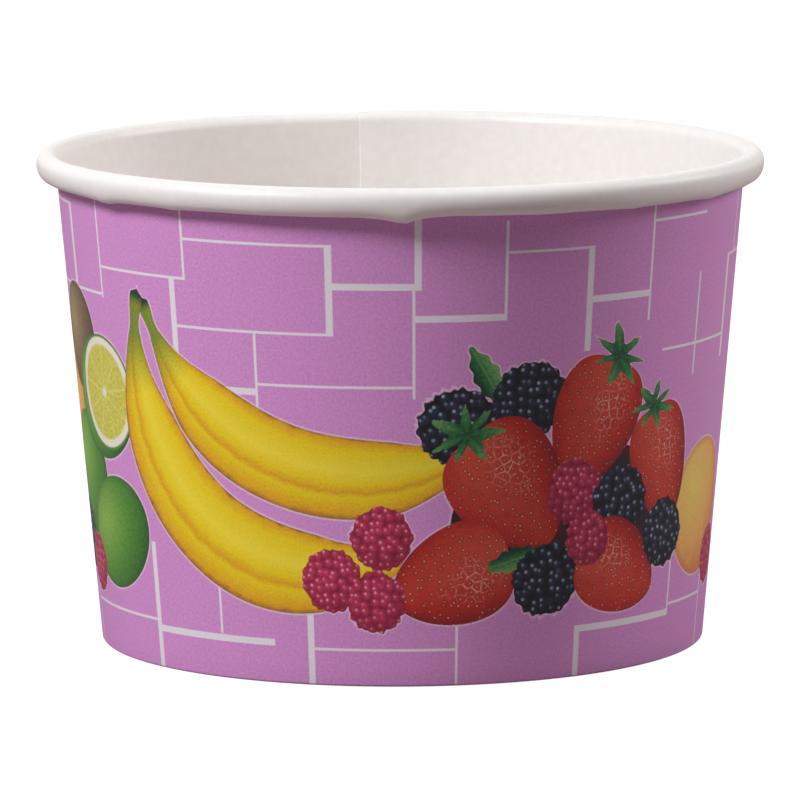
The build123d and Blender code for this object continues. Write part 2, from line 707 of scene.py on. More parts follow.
@dataclass(frozen=True)
class TileLine:
    """A straight line of the tiled ground, in millimetres on the sheet."""

    run: Run
    at: float
    start: float
    end: float
    weight: LineWeight = LineWeight.FINE

    @property
    def thin(self) -> float:
        """Half of the line's thickness."""
        return self.weight.value / 2

    def reaches(self, low: float, high: float) -> bool:
        """Return whether the line may show between two places across the sheet."""
        first, last = (self.at, self.at) if self.run is Run.UP else (self.start, self.end)
        return low - 2 * self.weight.value < last and first < high + 2 * self.weight.value

    def carried(self, end: float, way: int, others: "tuple[TileLine, ...]") -> float:
        """Return one end of the line, carried on to the far side of a line that it meets there.

        Args:
            end: Place of the end along the line.
            way: 1 at the far end and -1 at the near end.
            others: All the lines of the ground.

        Returns:
            The new place of the end.
        """
        met = (line.thin for line in others
               if line.run is not self.run and line.at == end and line.start <= self.at <= line.end)
        return end + way * max(met, default=0.0)

    def reach(self, pen: Pen, others: "tuple[TileLine, ...]") -> Field:
        """Draw the line, with its corners closed against the others.

        Args:
            pen: Pen of the printed board's tree.
            others: All the lines of the ground.

        Returns:
            How far inside the line a point lies.
        """
        start, end = self.carried(self.start, -1, others), self.carried(self.end, 1, others)
        along, aside = (pen.y, pen.x) if self.run is Run.UP else (pen.x, pen.y)
        across = self.thin - abs(aside - self.at)
        return across.least((end - start) / 2 - abs(along - (start + end) / 2))


WHOLE_LIME = RoundFruit("whole_lime")
KIWI = RoundFruit("kiwi", deep=Ink.KIWI_DEEP, body=Ink.KIWI, light=Ink.KIWI_LIGHT)
PEACH = RoundFruit(
    "peach", skin=Texture.MOTTLE, deep=Ink.PEACH_BLUSH, body=Ink.PEACH, light=Ink.PEACH_YELLOW)
LIME_WHEEL = LimeWheel("lime_wheel")
LONG_BANANA = Banana("long_banana", half_turn=68.0, half_width=0.225)
SHORT_BANANA = Banana("short_banana", half_turn=49.0, half_width=0.165)
STRAWBERRY = Strawberry("strawberry")
BLACKBERRY = Drupelets("blackberry")
RASPBERRY = Drupelets(
    "raspberry", beads=Texture.FINE_BEADS, glints=Texture.FINE_BEAD_GLINTS, deep=Ink.RASPBERRY_DEEP,
    body=Ink.RASPBERRY, glint=Ink.RASPBERRY_GLINT, gap=0.8)
LEAF = Leaf("leaf")
CROWN = Crown("crown")
GLOOM = Gloom("gloom")


@dataclass(frozen=True)
class FruitPrint:
    """The wall's print: a tiled lilac ground and heaped fruit, twice round the cup in two panels."""

    round_the_cup: float = 257.0
    repeats: int = 2
    first_edge: float = -69.0
    panel_edge: float = -16.0
    panel_margin: float = 1.5
    halo: float = 0.22
    halo_cover: float = 0.7
    grain: float = 0.4
    line_softness: float = 0.1
    fruit: tuple[Placed, ...] = (
        Placed(PEACH, -60.2, 28.5, 8.4, 9.6, 15.0),
        Placed(LEAF, -60.5, 41.0, 3.2, 4.8, 35.0),
        Placed(KIWI, -53.5, 40.0, 6.4, 7.0, 10.0),
        Placed(WHOLE_LIME, -54.5, 22.5, 7.4, 8.0),
        Placed(WHOLE_LIME, -46.6, 33.0, 8.2, 7.8, 20.0),
        Placed(LIME_WHEEL, -45.6, 33.8, 7.2, 7.4, 20.0),
        Placed(WHOLE_LIME, -45.5, 16.0, 8.6, 7.0, 25.0),
        Placed(PEACH, 49.5, 18.5, 8.4, 8.8),
        Placed(BLACKBERRY, -60.2, 14.0, 5.0, 4.7, 10.0),
        Placed(RASPBERRY, -54.6, 11.0, 3.8, 3.9),
        Placed(RASPBERRY, -64.8, 10.4, 3.8, 3.9),
        Placed(RASPBERRY, 55.6, 11.4, 3.8, 3.9),
        Placed(SHORT_BANANA, -5.0, 58.0, 32.0, 32.0, -21.0),
        Placed(LONG_BANANA, -11.0, 40.0, 26.0, 26.0, -40.0),
        Placed(GLOOM, 15.0, 20.0, 9.0, 8.0),
        Placed(GLOOM, 28.0, 20.0, 9.5, 9.0),
        Placed(LEAF, 10.5, 38.5, 3.4, 4.6, 30.0),
        Placed(BLACKBERRY, 7.0, 32.5, 5.2, 4.9),
        Placed(BLACKBERRY, 16.0, 35.5, 5.0, 4.8, 15.0),
        Placed(STRAWBERRY, 25.5, 32.5, 7.4, 8.0, -22.0),
        Placed(CROWN, 28.6, 40.0, 5.2, 4.0, -25.0),
        Placed(STRAWBERRY, 37.5, 26.0, 6.4, 7.6, 18.0),
        Placed(CROWN, 35.2, 33.2, 4.4, 3.4, 18.0),
        Placed(STRAWBERRY, 13.5, 25.0, 8.2, 8.4, 38.0),
        Placed(CROWN, 8.0, 31.5, 5.4, 4.2, 36.0),
        Placed(RASPBERRY, 22.6, 23.5, 4.0, 4.2),
        Placed(BLACKBERRY, 30.0, 21.5, 4.8, 4.6),
        Placed(RASPBERRY, -2.6, 18.6, 4.0, 4.1),
        Placed(STRAWBERRY, 7.0, 13.8, 7.2, 7.6, -70.0),
        Placed(LEAF, 14.5, 15.5, 3.0, 4.2, -75.0),
        Placed(RASPBERRY, -9.0, 13.2, 4.0, 4.1),
        Placed(RASPBERRY, -3.4, 10.6, 3.8, 4.0),
        Placed(BLACKBERRY, 19.0, 12.6, 4.9, 4.6, 10.0),
        Placed(STRAWBERRY, 30.0, 13.2, 6.6, 6.8, 64.0),
        Placed(BLACKBERRY, 39.0, 16.6, 4.4, 4.5),
        Placed(RASPBERRY, 25.0, 17.4, 3.4, 3.6),
    )
    lines: tuple[TileLine, ...] = (
        TileLine(Run.UP, -63.0, 46.0, 61.0),
        TileLine(Run.UP, -52.0, 46.5, 57.0, LineWeight.BOLD),
        TileLine(Run.UP, -43.5, 46.0, 61.0),
        TileLine(Run.UP, -29.5, 36.5, 50.0, LineWeight.BOLD),
        TileLine(Run.UP, -27.5, 50.0, 61.0),
        TileLine(Run.UP, -18.0, 24.0, 44.0),
        TileLine(Run.UP, -8.5, 44.0, 55.0, LineWeight.BOLD),
        TileLine(Run.UP, 1.5, 36.0, 50.0),
        TileLine(Run.UP, 2.0, 50.0, 61.0, LineWeight.BOLD),
        TileLine(Run.UP, 12.5, 46.0, 58.0),
        TileLine(Run.UP, 23.5, 41.0, 54.0, LineWeight.BOLD),
        TileLine(Run.UP, 33.0, 44.0, 61.0),
        TileLine(Run.UP, 43.5, 36.0, 49.0),
        TileLine(Run.UP, 53.0, 37.0, 50.0, LineWeight.BOLD),
        TileLine(Run.UP, 56.0, 50.0, 61.0),
        TileLine(Run.UP, -57.0, 0.0, 19.0),
        TileLine(Run.UP, -36.5, 0.0, 16.0, LineWeight.BOLD),
        TileLine(Run.UP, -25.0, 5.5, 12.0),
        TileLine(Run.UP, -12.0, 0.0, 9.0, LineWeight.BOLD),
        TileLine(Run.UP, 7.0, 0.0, 9.0),
        TileLine(Run.UP, 24.0, 0.0, 6.0, LineWeight.BOLD),
        TileLine(Run.UP, 41.5, 6.0, 18.0),
        TileLine(Run.UP, 52.5, 0.0, 12.0),
        TileLine(Run.ACROSS, 57.0, -63.0, -52.0),
        TileLine(Run.ACROSS, 46.5, -69.0, -43.5),
        TileLine(Run.ACROSS, 50.0, -43.5, -27.5),
        TileLine(Run.ACROSS, 44.0, -29.5, -8.5),
        TileLine(Run.ACROSS, 55.0, -27.5, -8.5),
        TileLine(Run.ACROSS, 36.5, -29.5, -18.0, LineWeight.BOLD),
        TileLine(Run.ACROSS, 50.0, -8.5, 2.0, LineWeight.BOLD),
        TileLine(Run.ACROSS, 37.5, -18.0, 1.5),
        TileLine(Run.ACROSS, 46.0, 1.5, 12.5, LineWeight.BOLD),
        TileLine(Run.ACROSS, 54.0, 12.5, 23.5),
        TileLine(Run.ACROSS, 47.5, 23.5, 33.0, LineWeight.BOLD),
        TileLine(Run.ACROSS, 56.5, 33.0, 44.0),
        TileLine(Run.ACROSS, 40.0, 36.0, 53.0),
        TileLine(Run.ACROSS, 50.0, 53.0, 59.5),
        TileLine(Run.ACROSS, 6.0, -57.0, -36.5),
        TileLine(Run.ACROSS, 5.0, -36.5, -17.0, LineWeight.BOLD),
        TileLine(Run.ACROSS, 4.5, -12.0, 7.0),
        TileLine(Run.ACROSS, 6.0, 24.0, 41.5, LineWeight.BOLD),
        TileLine(Run.ACROSS, 7.0, 41.5, 52.5),
    )

    @property
    def last_edge(self) -> float:
        """Place across the sheet where the design starts again."""
        return self.first_edge + self.round_the_cup / self.repeats

    def panel(self, across: float) -> Face:
        """Return the panel that a place across the sheet lies on."""
        place = (across - self.first_edge) % (self.last_edge - self.first_edge) + self.first_edge
        return Face.LEFT_PANEL if place < self.panel_edge else Face.RIGHT_PANEL

    def span(self, panel: Face) -> tuple[float, float]:
        """Measure a panel, with a margin over the other panel.

        Args:
            panel: The panel.

        Returns:
            Its two sides, as places across the sheet.
        """
        if panel is Face.LEFT_PANEL:
            return self.first_edge, self.panel_edge + self.panel_margin
        return self.panel_edge - self.panel_margin, self.last_edge

    def paint(self, tree: bpy.types.NodeTree, panel: Face) -> bpy.types.NodeSocket:
        """Draw one panel of the print on the sheet.

        Args:
            tree: Node tree of the printed board.
            panel: The panel that is drawn.

        Returns:
            The print's colour.
        """
        sheet_map = tree.nodes.new("ShaderNodeUVMap")
        sheet_map.uv_map = PRINT_MAP
        flat = Pen(tree, sheet_map.outputs[0])
        pen = Pen(tree, flat.join(flat.x.math("WRAP", self.last_edge, self.first_edge), flat.y))
        pen.lay_textures()
        low, high = self.span(panel)
        lines = (line.reach(pen, self.lines) for line in self.lines if line.reaches(low, high))
        lined = reduce(Field.greatest, lines)
        ink, reach = pen.over(Ink.LILAC, Ink.LINE, lined.cover(self.line_softness)), None
        for item in self.fruit:
            if item.reaches(low, high):
                ink, reach = self.lay(pen, item, ink, reach)
        halo = (reach + self.halo).cover(self.line_softness) * (1.0 - reach.cover(self.line_softness))
        ringed = pen.over(ink, Ink.HALO, halo * self.halo_cover)
        return pen.grained(ringed, pen.textures[Texture.GRAIN], self.grain)

    def lay(self, pen: Pen, item: Placed, ink: bpy.types.NodeSocket,
            reach: Field | None) -> tuple[bpy.types.NodeSocket, Field]:
        """Lay one motif over the print so far.

        Args:
            pen: Pen of the printed board's tree.
            item: The motif and its place.
            ink: Colour of the print so far.
            reach: How far inside any motif a point lies so far, or None before the first.

        Returns:
            The new colour and reach.
        """
        local = pen.add("ShaderNodeMapping", vector_type="TEXTURE")
        local.inputs["Location"].default_value = (item.across, item.up, 0.0)
        local.inputs["Rotation"].default_value = (0.0, 0.0, radians(item.turn))
        local.inputs["Scale"].default_value = (item.half_width, item.half_height, 1.0)
        pen.tree.links.new(pen.place, local.inputs["Vector"])
        stamp = pen.add("ShaderNodeGroup", node_tree=item.motif.group())
        stamp.inputs["Size"].default_value = (item.half_width + item.half_height) / 2
        stamp.inputs["Reach"].default_value = -self.halo
        joined = [(field.socket, texture.name) for texture, field in pen.textures.items()]
        joined += [(ink, "Ink"), (local.outputs[0], "Place")]
        if reach:
            joined.append((reach.socket, "Reach"))
        for socket, name in joined:
            pen.tree.links.new(socket, stamp.inputs[name])
        return stamp.outputs["Ink"], Field(pen.tree, stamp.outputs["Reach"])


@dataclass(frozen=True)
class BoardFinish(ABC):
    """Surface of paper board: a smooth coat with faint fibres under it."""

    name: str
    roughness: float = 0.42
    roughness_spread: float = 0.12
    fibre_length: float = 0.6 * MM
    fibre_depth: float = 0.012 * MM
    fibre_detail: float = 4.0
    fibre_strength: float = 0.6
    specular: float = 0.35

    @abstractmethod
    def colour(self, pen: Pen) -> bpy.types.NodeSocket:
        """Return the colour of the board's face."""

    def material(self) -> bpy.types.Material:
        """Make the material at its first use.

        Returns:
            The finished material.
        """
        if self.name in bpy.data.materials:
            return bpy.data.materials[self.name]
        material = bpy.data.materials.new(self.name)
        material.use_nodes = True
        tree = material.node_tree
        shader = tree.nodes["Principled BSDF"]
        shader.inputs["Specular IOR Level"].default_value = self.specular
        where = tree.nodes.new("ShaderNodeTexCoord")
        pen = Pen(tree, where.outputs["Object"])
        tree.links.new(self.colour(pen), shader.inputs["Base Color"])
        fibres = pen.noise(pen.place, 1.0 / self.fibre_length, self.fibre_detail)
        sheen = fibres * self.roughness_spread + (self.roughness - self.roughness_spread / 2)
        tree.links.new(sheen.socket, shader.inputs["Roughness"])
        bump = pen.add("ShaderNodeBump")
        bump.inputs["Strength"].default_value = self.fibre_strength
        bump.inputs["Distance"].default_value = self.fibre_depth
        tree.links.new(fibres.socket, bump.inputs["Height"])
        tree.links.new(bump.outputs[0], shader.inputs["Normal"])
        return material


@dataclass(frozen=True)
class PrintedBoard(BoardFinish):
    """A panel of the wall's outer face, printed and varnished."""

    panel: Face = Face.LEFT_PANEL
    design: FruitPrint = FruitPrint()

    def colour(self, pen: Pen) -> bpy.types.NodeSocket:
        """Return the panel's print."""
        return self.design.paint(pen.tree, self.panel)


@dataclass(frozen=True)
class WhiteBoard(BoardFinish):
    """Unprinted white board, with a warm cast and pale flecks."""

    light: Colour = linear(243, 237, 233)
    dark: Colour = linear(239, 231, 227)
    fleck_size: float = 1.2 * MM
    fleck_detail: float = 5.0
    fleck_floor: float = 0.3
    fleck_contrast: float = 2.2

    def colour(self, pen: Pen) -> bpy.types.NodeSocket:
        """Cloud the white a little by the fibres.

        Args:
            pen: Pen of the board's tree.

        Returns:
            The clouded white.
        """
        clouds = pen.noise(pen.place, 1.0 / self.fleck_size, self.fleck_detail)
        node = pen.add("ShaderNodeMix", data_type="RGBA")
        clouded = ((clouds - self.fleck_floor) * self.fleck_contrast).limited()
        pen.tree.links.new(clouded.socket, node.inputs[MIX_FACTOR])
        node.inputs[MIX_UNDER].default_value = self.dark
        node.inputs[MIX_TOP].default_value = self.light
        return node.outputs[MIX_RESULT]


@dataclass(frozen=True)
class SheetPoint:
    """A point of the sheet's printed face in section, with its normal and how the lap lies there."""

    radius: float
    height: float
    normal: tuple[float, float]
    length: float
    inset: float
    sag: float


@dataclass
class CupForm:
    """Sizes that the two pieces of board share."""

    rim_radius: float
    height: float
    foot_radius: float = 38.25 * MM
    board: float = 0.4 * MM
    roll_width: float = 2.8 * MM
    roll_height: float = 3.2 * MM
    tuck_gap: float = 0.08 * MM
    tuck_turn: float = radians(110.0)
    base_recess: float = 7.0 * MM
    hem_below_base: float = 1.4 * MM
    seal_gap: float = 0.02 * MM

    @classmethod
    def from_frame(cls) -> "CupForm":
        """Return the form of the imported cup."""
        low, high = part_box("sidewall")
        return cls(min(high.x - low.x, high.y - low.y) / 2 - SLACK, high.z - low.z - SLACK)

    @property
    def roll_half(self) -> tuple[float, float]:
        """Half of the width and of the height of the roll's printed inside."""
        return self.roll_width / 2 - self.board, self.roll_height / 2 - self.board

    @property
    def roll_centre(self) -> tuple[float, float]:
        """Radius and height of the roll's middle."""
        return self.rim_radius - self.roll_width / 2, self.height - self.roll_height / 2

    @property
    def roll_start(self) -> float:
        """Find where the wall runs into the roll.

        Returns:
            The turn above the roll's middle.
        """
        (radius, height), (across, up) = self.roll_centre, self.roll_half
        reach = (radius - self.foot_radius) * up / across
        return acos(up / hypot(reach, height)) - atan2(height, reach)

    @property
    def lean(self) -> float:
        """Angle that the wall leans outward, so that it runs from the foot into the roll."""
        across, up = self.roll_half
        return atan(tan(self.roll_start) * across / up)

    def wall_radius(self, height: float, depth: float = 0.0) -> float:
        """Return the radius at a height of the surface at a depth under the wall's outer face."""
        return self.foot_radius + height * tan(self.lean) - depth / cos(self.lean)


def pick(piece: bpy.types.Object, kind: str, wanted: Callable[[object], bool]) -> None:
    """Go into edit mode with some of a piece's edges or faces selected, and nothing else.

    Args:
        piece: The active piece.
        kind: EDGE or FACE.
        wanted: Says of each edge or face whether it is selected.
    """
    bpy.ops.object.mode_set(mode="EDIT")
    bpy.ops.mesh.select_mode(type=kind)
    bpy.ops.mesh.select_all(action="DESELECT")
    bpy.ops.object.mode_set(mode="OBJECT")
    for element in piece.data.edges if kind == "EDGE" else piece.data.polygons:
        element.select = wanted(element)
    bpy.ops.object.mode_set(mode="EDIT")


def thicken(piece: bpy.types.Object, board: float, back: int = 0, edges: int = 0) -> None:
    """Give a sheet its thickness on the side that its faces point away from, and smooth its curves.

    Args:
        piece: The active piece.
        board: Thickness of the board.
        back: Material slot of the new side.
        edges: Material slot of the cut edges.
    """
    solid = piece.modifiers.new("board", "SOLIDIFY")
    solid.thickness = board
    solid.offset = -1.0
    solid.use_even_offset = True
    solid.use_quality_normals = True
    solid.material_offset = back
    solid.material_offset_rim = edges
    solid.vertex_group = THICKNESS if THICKNESS in piece.vertex_groups else ""
    bpy.ops.object.modifier_apply(modifier=solid.name)
    bpy.ops.object.shade_smooth_by_angle(angle=SMOOTH_ANGLE)


@dataclass(frozen=True)
class Dip:
    """A dip of the roll's underside: its depth, and its angle and reach to each side in degrees."""

    angle: float
    depth: float
    before: float
    after: float
    sharpness: float = 1.2

    def at(self, angle: float) -> float:
        """Measure the dip at an angle.

        Args:
            angle: Angle round the cup, in radians.

        Returns:
            How far the roll hangs there.
        """
        away = (degrees(angle) - self.angle + 180.0) % 360.0 - 180.0
        reach = self.after if away > 0 else self.before
        return self.depth * exp(-abs(away / reach) ** self.sharpness)


@dataclass
class FlatMap:
    """The sheet on a second, flat map: the print in two strips, then the white side and the cut edges."""

    mesh: bpy.types.Mesh
    front: int
    wall_top: float
    hidden_share: float = 0.4
    margin: float = 0.004
    strip_step: float = 0.44
    strip_height: float = 0.43
    white_start: float = 0.88
    white_height: float = 0.08
    long_edges: float = 0.965
    short_edges: float = 0.982
    edge_step: float = 0.008
    edge_height: float = 0.006

    def squeezed(self, up: float) -> float:
        """Return a height on the print with the hidden parts above and below the wall made shorter."""
        hidden = min(up, 0.0) + max(up - self.wall_top, 0.0)
        return min(max(up, 0.0), self.wall_top) + self.hidden_share * hidden

    def lay(self) -> None:
        """Give each corner of the thickened sheet's faces its place on the map."""
        places = [loop.uv.copy() for loop in self.mesh.uv_layers[PRINT_MAP].data]
        left, right = min(place.x for place in places), max(place.x for place in places)
        low, high = min(place.y for place in places), max(place.y for place in places)
        half, inside = (right - left) / 2, 1.0 - 2 * self.margin
        bottom, tall = self.squeezed(low), self.squeezed(high) - self.squeezed(low)
        flat = self.mesh.uv_layers.new(name=FLAT_MAP)
        for face in self.mesh.polygons:
            corners = [places[at] for at in face.loop_indices]
            strip = int(sum(place.x for place in corners) / len(corners) > left + half)
            along_edge = max(place.y for place in corners) - min(place.y for place in corners) < SLACK
            for at, place in zip(face.loop_indices, corners):
                behind = self.edge_height * (self.mesh.loops[at].vertex_index >= self.front)
                across, up = (place.x - left) / (2 * half), (place.y - low) / (high - low)
                if face.material_index == Face.LEFT_PANEL.value:
                    across = (place.x - left - strip * half) / half
                    risen = (self.squeezed(place.y) - bottom) / tall
                    up = self.strip_step * strip + self.strip_height * risen
                elif face.material_index == Face.COATED.value:
                    up = self.white_start + self.white_height * up
                elif along_edge:
                    up = self.long_edges + self.edge_step * (place.y > low + SLACK) + behind
                else:
                    across, up = up, self.short_edges + self.edge_step * strip + behind
                flat.data[at].uv = (self.margin + inside * across, self.margin + inside * up)


@dataclass
class Sidewall:
    """The printed sheet, wrapped and lapped, with its top edge rolled and its bottom edge hemmed."""

    form: CupForm
    design: FruitPrint
    coated: WhiteBoard
    cut: WhiteBoard
    columns: int = 300
    hem_steps: int = 4
    fold_steps: int = 6
    wall_steps: int = 26
    roll_steps: int = 34
    tuck_steps: int = 12
    fold_radius: float = 0.36 * MM
    outer_edge: float = radians(87.17)
    lap_turn: float = radians(9.83)
    lap_fade: float = radians(40.0)
    lap_rise: float = 0.22 * MM
    skive_width: float = 2.5 * MM
    skived: float = 0.5
    sag: float = 0.4 * MM
    sag_spread: float = -0.13 * MM
    sag_from: float = 0.3
    sag_reach: float = 0.9
    roll_reach: float = 1.05
    upright: float = 0.7
    ripple: float = 0.05 * MM
    waves: tuple[tuple[float, int, float], ...] = ((0.5, 9, 0.7), (0.35, 17, 2.1), (0.3, 31, 0.0))
    dips: tuple[Dip, ...] = (
        Dip(-89.4, 0.75 * MM, 3.4, 1.9),
        Dip(-81.0, -0.2 * MM, 4.0, 7.0),
        Dip(-143.8, 0.42 * MM, 2.6, 3.0),
        Dip(-128.0, 0.16 * MM, 2.6, 1.2),
        Dip(-50.5, 0.2 * MM, 3.0, 1.6),
        Dip(-31.5, 0.26 * MM, 4.0, 3.0),
        Dip(24.0, 0.22 * MM, 1.8, 3.6),
        Dip(71.0, 0.3 * MM, 3.4, 1.7),
        Dip(133.0, 0.2 * MM, 2.0, 3.0),
        Dip(168.0, 0.28 * MM, 3.2, 2.2),
    )
    print_radius: float = 40.9 * MM
    foot_zone: float = 9.0 * MM

    def outline(self) -> list[tuple[float, float]]:
        """Trace the printed face in section: the hem, the foot's fold, the wall, the roll and its tuck.

        Returns:
            Radius and height of each point.
        """
        form, fold = self.form, self.fold_radius
        depth = 3 * form.board + 2 * form.seal_gap
        hem_top = form.base_recess - form.hem_below_base
        heights = [hem_top - step * (hem_top - fold) / self.hem_steps for step in range(self.hem_steps)]
        points = [(form.wall_radius(height, depth), height) for height in heights]
        inner, outer = form.wall_radius(0.0, depth) + fold, form.wall_radius(0.0) - fold
        points += self.arc((inner, fold), (fold, fold), pi, 1.5 * pi, self.fold_steps)
        points += self.arc((outer, fold), (fold, fold), 1.5 * pi, 2 * pi - form.lean, self.fold_steps)
        (centre_radius, centre_height), (across, up) = form.roll_centre, form.roll_half
        start = (centre_radius - across * cos(form.roll_start), centre_height + up * sin(form.roll_start))
        foot = points[-1]
        for step in range(1, self.wall_steps):
            points.append(tuple(a + (b - a) * step / self.wall_steps for a, b in zip(foot, start)))
        points += self.arc(form.roll_centre, form.roll_half, pi - form.roll_start, -pi / 2, self.roll_steps)
        tuck = across - form.board - form.tuck_gap
        tuck_centre = (centre_radius, centre_height - up + tuck)
        points += self.arc(tuck_centre, (tuck, tuck), -pi / 2, -pi / 2 - form.tuck_turn, self.tuck_steps)[1:]
        return points

    @staticmethod
    def arc(centre: tuple[float, float], radii: tuple[float, float], start: float, end: float,
            steps: int) -> list[tuple[float, float]]:
        """Return points along an arc of a round or an oval, both ends included."""
        turns = [start + (end - start) * step / steps for step in range(steps + 1)]
        return [(centre[0] + radii[0] * cos(turn), centre[1] + radii[1] * sin(turn)) for turn in turns]

    def section(self) -> list[SheetPoint]:
        """Follow the section along the sheet.

        Returns:
            Its points, each with its normal, its length along the sheet, its lap and its sag.
        """
        points = self.outline()
        (roll_radius, roll_height), (across, up) = self.form.roll_centre, self.form.roll_half
        made, length = [], 0.0
        for at, (radius, height) in enumerate(points):
            before, after = points[max(at - 1, 0)], points[min(at + 1, len(points) - 1)]
            run, rise = after[0] - before[0], after[1] - before[1]
            size = hypot(run, rise)
            if at:
                length += hypot(radius - points[at - 1][0], height - points[at - 1][1])
            normal = (rise / size, -run / size)
            foot = min(max(1.0 - height / self.foot_zone, 0.0), 1.0)
            turned = (roll_height - height) / up
            at_roll = hypot((radius - roll_radius) / across, turned) < self.roll_reach
            facing_down = max(-normal[1], 0.0) if height < self.foot_zone else 0.0
            top = self.ease((height - roll_height) / self.foot_zone + 1.0)
            inset = 1.0 if at_roll else max(foot, top) - 2.0 * facing_down
            outside = at_roll and radius > roll_radius - self.sag_reach * across
            hung = max(turned + self.sag_from, 0.0) / (1.0 + self.sag_from)
            sag = min(hung, 1.0) if outside else 0.0
            made.append(SheetPoint(radius, height, normal, length, inset, sag))
        return made

    def build(self) -> bpy.types.Object:
        """Wrap the sheet from a flat blank.

        Returns:
            The finished sheet.
        """
        section = self.section()
        sweep = 2 * pi + self.lap_turn
        blank = self.flat_blank(len(section) - 1)
        mesh = blank.data
        sheet_map = mesh.uv_layers[0]
        sheet_map.name = PRINT_MAP
        fold_length = next(point.length for point in section if point.normal[0] > self.upright)
        places = [self.blank_place(vertex.co, len(section) - 1) for vertex in mesh.vertices]
        for vertex, (share, row) in zip(mesh.vertices, places):
            vertex.co = self.wrapped(section[row], share * sweep)
        for loop in mesh.loops:
            share, row = places[loop.vertex_index]
            across = (self.outer_edge + share * sweep - FRONT) * self.print_radius
            up = section[row].length - fold_length
            sheet_map.data[loop.index].uv = (across / MM, up / MM)
        left_panel = PrintedBoard("printed_left_panel", panel=Face.LEFT_PANEL, design=self.design)
        right_panel = PrintedBoard("printed_right_panel", panel=Face.RIGHT_PANEL, design=self.design)
        for finish in (left_panel, self.coated, self.cut, right_panel):
            mesh.materials.append(finish.material())
        self.skive(blank, places)
        thicken(blank, self.form.board, Face.COATED.value, Face.CUT.value)
        roll_start = next(point.length for point in section if point.height > self.form.roll_centre[1])
        FlatMap(mesh, len(places), (roll_start - fold_length) / MM).lay()
        self.part_panels(mesh)
        return blank

    def part_panels(self, mesh: bpy.types.Mesh) -> None:
        """Give each printed face the material of its own panel.

        Args:
            mesh: Mesh of the thickened sheet.
        """
        places = mesh.uv_layers[PRINT_MAP].data
        for face in mesh.polygons:
            if face.material_index == Face.LEFT_PANEL.value:
                across = sum(places[at].uv.x for at in face.loop_indices) / face.loop_total
                face.material_index = self.design.panel(across).value

    def skive(self, blank: bpy.types.Object, places: list[tuple[float, int]]) -> None:
        """Set how thick the board is: whole, but pressed thin at the lap's inner edge.

        Args:
            blank: The wrapped sheet.
            places: Each vertex's share of the sweep and its row.
        """
        group = blank.vertex_groups.new(name=THICKNESS)
        length = (2 * pi + self.lap_turn) * self.print_radius
        for at, (share, _) in enumerate(places):
            thinned = max(1.0 - (1.0 - share) * length / self.skive_width, 0.0)
            group.add([at], 1.0 - (1.0 - self.skived) * thinned, "REPLACE")

    def flat_blank(self, rows: int) -> bpy.types.Object:
        """Add a flat grid with a column for each step of the sweep.

        Args:
            rows: Number of rows, one for each step of the section.

        Returns:
            The grid, one unit wide and tall.
        """
        bpy.ops.object.select_all(action="DESELECT")
        bpy.ops.mesh.primitive_grid_add(
            x_subdivisions=self.columns, y_subdivisions=rows, size=1.0, calc_uvs=True)
        blank = bpy.context.active_object
        blank.name = blank.data.name = "printed_sidewall"
        return blank

    @staticmethod
    def blank_place(flat: Vector, rows: int) -> tuple[float, int]:
        """Return a blank's point as its share of the sweep and its row."""
        return flat.x + 0.5, round((flat.y + 0.5) * rows)

    def wrapped(self, point: SheetPoint, swept: float) -> tuple[float, float, float]:
        """Place a point of the sheet on the cup.

        Args:
            point: The point's place in section.
            swept: Angle from the sheet's outer edge.

        Returns:
            The point in metres.
        """
        angle = self.outer_edge + swept
        left = 2 * pi + self.lap_turn - swept
        above = self.lap_rise * self.ease(1.0 - swept / self.lap_fade) * (1.0 + point.inset)
        below = self.lap_rise * self.ease(1.0 - left / self.lap_fade) * (1.0 - point.inset)
        offset = above - below
        drop = self.sag - self.sag_spread * cos(angle) + self.ripple * self.wave(angle)
        drop += sum(dip.at(angle) for dip in self.dips) if point.sag else 0.0
        radius = point.radius + offset * point.normal[0]
        height = point.height + offset * point.normal[1] - drop * point.sag
        return radius * cos(angle), radius * sin(angle), max(height, 0.0)

    @staticmethod
    def ease(share: float) -> float:
        """Return a smooth step from 0 to 1."""
        share = min(max(share, 0.0), 1.0)
        return share * share * (3.0 - 2.0 * share)

    def wave(self, angle: float) -> float:
        """Return the roll's unevenness at an angle, from about -1 to 1."""
        return sum(size * sin(count * angle + start) for size, count, start in self.waves)


